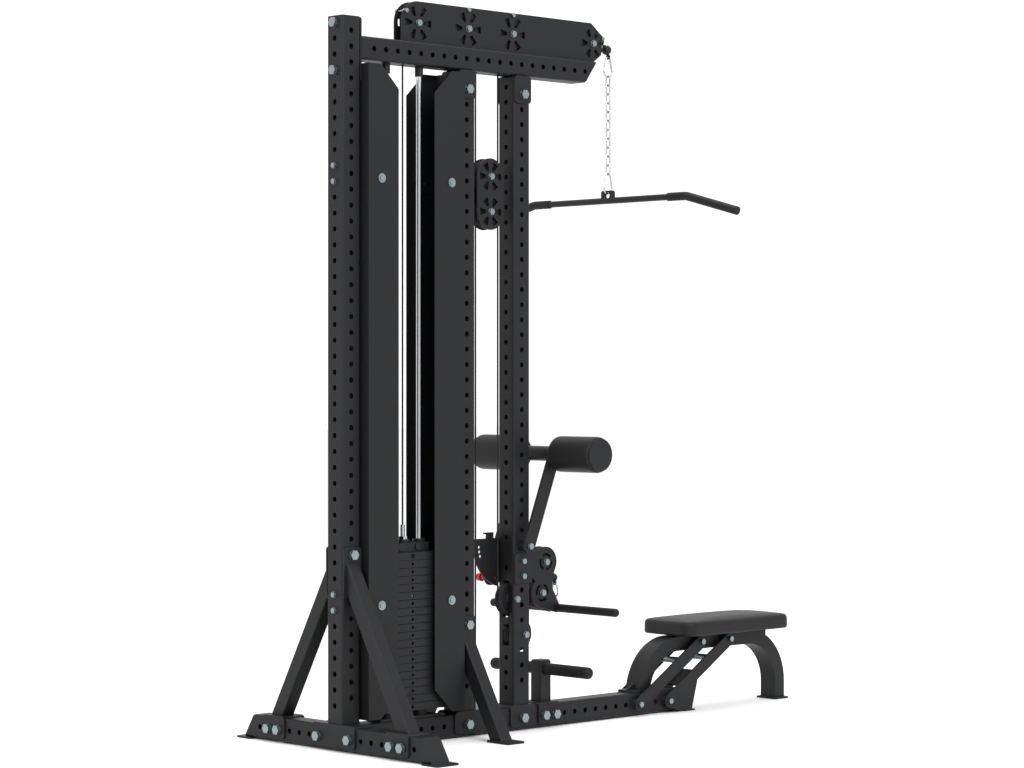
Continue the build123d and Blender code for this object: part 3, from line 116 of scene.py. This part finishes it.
look = {
    "frame_paint": material("frame_paint", (0.0095, 0.0098, 0.0108), 0.46, bump=0.35, grain=900,
                            mottle=0.05),
    "guard_paint": material("guard_paint", (0.0085, 0.0088, 0.0096), 0.48, bump=0.3, grain=900,
                            mottle=0.05),
    "plate_paint": material("plate_paint", (0.0105, 0.0108, 0.0118), 0.46, bump=0.4, grain=700),
    "zinc": material("zinc", (0.25, 0.29, 0.30), 0.36, metallic=1.0, mottle=0.06),
    "chrome": material("chrome", (0.46, 0.47, 0.49), 0.16, metallic=1.0, mottle=0.02),
    "black_plastic": material("black_plastic", (0.008, 0.008, 0.009), 0.45, bump=0.15, grain=600),
    "pulley_plastic": material("pulley_plastic", (0.008, 0.008, 0.009), 0.42, bump=0.12, grain=500),
    "grip_rubber": material("grip_rubber", (0.008, 0.008, 0.0086), 0.6, bump=0.5, grain=650),
    "roller_cover": leather("roller_cover", (0.008, 0.008, 0.0086), 0.5),
    "pad_leather": leather("pad_leather", (0.009, 0.009, 0.0098), 0.46),
    "red_knob": material("red_knob", (0.5, 0.01, 0.012), 0.3, coat=0.3),
}

slot_of = {s["node"]: s["material_slot"] for s in frame["record"]["subparts"]}
for name, obj in nodes.items():
    obj.data.materials.clear()
    obj.data.materials.append(look[slot_of[name]])
    obj.data.shade_smooth()
    obj.data.set_sharp_from_angle(angle=radians(32))


# The two round spacers on the thigh arm's pivot bolt are painted like the frame.
axles = nodes["front_axles"]
axles.data.materials.append(look["frame_paint"])
pivot_x, pivot_z = -0.2755, 0.6145
for face in axles.data.polygons:
    off_axis = hypot(face.center.x - pivot_x, face.center.z - pivot_z)
    if off_axis < 0.0185 and 0.036 < abs(face.center.y) < 0.0668:
        face.material_index = 1


def new_object(name, mesh, finish):
    obj = bpy.data.objects.new(name, mesh)
    bpy.context.scene.collection.objects.link(obj)
    obj.data.materials.clear()
    obj.data.materials.append(look[finish])
    return obj


def only(obj):
    bpy.ops.object.select_all(action="DESELECT")
    obj.select_set(True)
    bpy.context.view_layer.objects.active = obj


# ------------------------------------------------------------------ soft pieces
def stuffed(name, node, finish, held, pressure, grid=0.006, smooth=3):
    """The CAD solid re-meshed and filled like a cover; held(co) is true where it is fixed down."""
    obj = new_object(name, nodes[node].data.copy(), finish)
    only(obj)
    remesh = obj.modifiers.new("remesh", "REMESH")
    remesh.mode = "VOXEL"
    remesh.voxel_size = grid
    bpy.ops.object.modifier_apply(modifier="remesh")
    group = obj.vertex_groups.new(name="held")
    group.add([v.index for v in obj.data.vertices if held(v.co)], 1.0, "REPLACE")
    cloth = obj.modifiers.new("cloth", "CLOTH")
    settings = cloth.settings
    settings.quality = 5
    settings.mass = 0.4
    settings.tension_stiffness = 30
    settings.compression_stiffness = 30
    settings.shear_stiffness = 15
    settings.bending_stiffness = 4
    settings.use_pressure = True
    settings.uniform_pressure_force = pressure
    settings.vertex_group_mass = "held"
    settings.effector_weights.gravity = 0
    cloth.collision_settings.use_self_collision = False
    cloth.point_cache.frame_start = 1
    cloth.point_cache.frame_end = 20
    scene = bpy.context.scene
    for f in range(1, 21):
        scene.frame_set(f)
    bpy.ops.object.modifier_apply(modifier="cloth")
    scene.frame_set(1)
    relax = obj.modifiers.new("relax", "SMOOTH")
    relax.factor = 0.5
    relax.iterations = smooth
    bpy.ops.object.modifier_apply(modifier="relax")
    finer = obj.modifiers.new("finer", "SUBSURF")
    finer.levels = 1
    finer.render_levels = 1
    bpy.ops.object.modifier_apply(modifier="finer")
    obj.data.shade_smooth()
    return obj


pad_low, pad_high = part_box("seat_pad")
pad = stuffed(
    "seat_cushion", "seat_pad", "pad_leather",
    lambda co: co.z < pad_low.z + 0.026, 0.8, grid=0.005, smooth=3,
)
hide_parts("seat_pad")
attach(pad, "frame")

for hand in ("left", "right"):
    low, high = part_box("roller_" + hand)
    mid = (low + high) / 2
    foam = stuffed(
        "roller_foam_" + hand, "roller_" + hand, "roller_cover",
        lambda co, mid=mid: hypot(co.x - mid.x, co.z - mid.z) < 0.022, 1.5, grid=0.005, smooth=3,
    )
    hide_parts("roller_" + hand)
    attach(foam, "roller_" + hand)


# ------------------------------------------------------------------ cables
rear = -1.0205
cable_r = 0.003


def tube(name, path, finish="black_plastic", sides=12):
    """Round tube along points in the XZ plane."""
    bm = bmesh.new()
    rings = []
    count = len(path)
    for i, (x, z) in enumerate(path):
        a = path[max(i - 1, 0)]
        b = path[min(i + 1, count - 1)]
        t = Vector((b[0] - a[0], 0, b[1] - a[1])).normalized()
        n = Vector((-t.z, 0, t.x))
        ring = []
        for k in range(sides):
            w = 2 * pi * k / sides
            off = n * cos(w) + Vector((0, 1, 0)) * sin(w)
            ring.append(bm.verts.new(Vector((x, 0, z)) + off * cable_r))
        rings.append(ring)
    for r0, r1 in zip(rings, rings[1:]):
        for k in range(sides):
            bm.faces.new((r0[k], r0[(k + 1) % sides], r1[(k + 1) % sides], r1[k]))
    bm.faces.new(rings[0])
    bm.faces.new(list(reversed(rings[-1])))
    bmesh.ops.recalc_face_normals(bm, faces=bm.faces)
    mesh = bpy.data.meshes.new(name)
    bm.to_mesh(mesh)
    bm.free()
    obj = new_object(name, mesh, finish)
    obj.data.shade_smooth()
    obj.data.set_sharp_from_angle(angle=radians(50))
    return obj


def run(a, b, steps=24):
    """Points along the straight line from a to b."""
    shares = [i / steps for i in range(steps + 1)]
    return [(a[0] + (b[0] - a[0]) * t, a[1] + (b[1] - a[1]) * t) for t in shares]


def bend(c, r, a0, a1, steps=28):
    """Points round the arc of radius r about c, from a0 to a1 degrees."""
    out = []
    for i in range(steps + 1):
        w = radians(a0 + (a1 - a0) * i / steps)
        out.append((c[0] + r * cos(w), c[1] + r * sin(w)))
    return out


pr, rr = 0.0505, 0.0465
top_z = 2.3185
tops = [(rear + x, top_z) for x in (0.298, 0.518, 0.720, 1.100)]
high_z = top_z + pr
block_x = rear + 0.619
block_low, block_high = 1.723, 1.8395
ball = (rear + 1.187, 2.305)
dx, dz = ball[0] - tops[3][0], ball[1] - tops[3][1]
leave = atan2(dz, dx) + acos(pr / hypot(dx, dz))
off = (tops[3][0] + pr * cos(leave), tops[3][1] + pr * sin(leave))
reach = hypot(ball[0] - off[0], ball[1] - off[1])
lat_end = tuple(o + (b - o) * (1 - 0.019 / reach) for o, b in zip(off, ball))


def strand(name, path, body, node, blend_to=None):
    """One run of a cable, attached to its body. A run with blend_to is baked in place and attached to no
    body."""
    obj = tube(name, path)
    if blend_to:
        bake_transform(obj)
    else:
        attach(obj, body)
    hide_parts(node)


down_a, down_b = block_x - pr, block_x + pr
stack_x = rear + 0.2475
strand("lat_stack_run", run((stack_x, 0.702), (stack_x, top_z)), "stack_lift", "lat_cable", "frame")
strand("lat_over_rear", bend(tops[0], pr, 180, 90) + run((tops[0][0], high_z), (tops[1][0], high_z))[1:]
       + bend(tops[1], pr, 90, 0)[1:], "frame", "lat_cable")
strand("lat_down", run((down_a, top_z), (down_a, block_high)), "frame", "lat_cable", "floating_block")
strand("lat_under", bend((block_x, block_high), pr, 180, 360), "floating_block", "lat_cable")
strand("lat_up", run((down_b, top_z), (down_b, block_high)), "frame", "lat_cable", "floating_block")
strand("lat_over_front", bend(tops[2], pr, 180, 90) + run((tops[2][0], high_z), (tops[3][0], high_z))[1:]
       + bend(tops[3], pr, 90, leave * 180 / pi)[1:], "frame", "lat_cable")
# The run clears the last pulley's groove first, so that it doesn't cut through it when pulled down.
strand("lat_handle_run", run(off, lat_end, 60), "frame", "lat_cable", "lat_pull")

g1, g2 = (rear + 0.720, 0.438), (rear + 0.761, 0.318)
low_row = (rear + 0.858, 0.451)
gx, gz = g2[0] - g1[0], g2[1] - g1[1]
span = hypot(gx, gz)
nx, nz = gz / span * pr, -gx / span * pr
slant = atan2(nz, nx) * 180 / pi % 360
strand("row_anchor_run", run((down_a, 0.125), (down_a, block_low)), "frame", "row_cable", "floating_block")
strand("row_over", bend((block_x, block_low), pr, 180, 0), "floating_block", "row_cable")
strand("row_down", run((down_b, g1[1]), (down_b, block_low)), "frame", "row_cable",
       "floating_block")
strand("row_guides", bend(g1, pr, 180, slant)
       + run((g1[0] + nx, g1[1] + nz), (g2[0] + nx, g2[1] + nz))[1:]
       + bend(g2, pr, slant, 360)[1:]
       + run((g2[0] + pr, g2[1]), (low_row[0] - rr, low_row[1]))[1:]
       + bend(low_row, rr, 180, 90)[1:], "frame", "row_cable")
row_end = (rear + 0.9145, low_row[1] + rr)
strand("row_handle_run", run((low_row[0], low_row[1] + rr), row_end), "frame", "row_cable", "row_pull")

# ------------------------------------------------------------------ floor, light and camera
floor_mesh = bpy.data.meshes.new("floor")
floor_mesh.from_pydata(
    [(-40, -40, -0.001), (40, -40, -0.001), (40, 40, -0.001), (-40, 40, -0.001)], [], [(0, 1, 2, 3)],
)
floor = bpy.data.objects.new("floor", floor_mesh)
bpy.context.scene.collection.objects.link(floor)
pale = bpy.data.materials.new("pale_floor")
pale.use_nodes = True
pale.node_tree.nodes["Principled BSDF"].inputs["Base Color"].default_value = (0.86, 0.86, 0.86, 1)
pale.node_tree.nodes["Principled BSDF"].inputs["Roughness"].default_value = 0.9
floor.data.materials.append(pale)

world = bpy.data.worlds.new("studio")
bpy.context.scene.world = world
world.use_nodes = True
world.node_tree.nodes["Background"].inputs["Color"].default_value = (1, 1, 1, 1)
world.node_tree.nodes["Background"].inputs["Strength"].default_value = 1.15


def softbox(name, at, aim, width, power):
    data = bpy.data.lights.new(name, "AREA")
    data.shape = "SQUARE"
    data.size = width
    data.energy = power
    lamp = bpy.data.objects.new(name, data)
    bpy.context.scene.collection.objects.link(lamp)
    lamp.location = at
    lamp.rotation_euler = (Vector(aim) - Vector(at)).to_track_quat("-Z", "Y").to_euler()


softbox("key", (-1.5, -5.5, 4.5), (0, 0, 1.0), 3.0, 260)
softbox("fill", (-6.0, 0.5, 3.0), (0, 0, 1.0), 3.0, 120)
softbox("top", (0.5, 0.5, 6.0), (0, 0, 0.5), 4.0, 160)

eye = bpy.data.cameras.new("camera")
eye.sensor_width = 36
eye.lens = 96.14
eye.shift_x = 0.016
eye.shift_y = -0.00805
eye.clip_end = 200
camera = bpy.data.objects.new("camera", eye)
bpy.context.scene.collection.objects.link(camera)
camera.location = (-5.58485 + rear, -6.58955, 1.1809)
camera.rotation_euler = (pi / 2, 0, -atan2(0.68787, 0.72583))
scene = bpy.context.scene
scene.camera = camera
scene.render.engine = "CYCLES"
scene.cycles.samples = 96
scene.cycles.use_denoising = True
scene.cycles.seed = 3
scene.render.resolution_x = 1024
scene.render.resolution_y = 768
scene.view_settings.view_transform = "Standard"
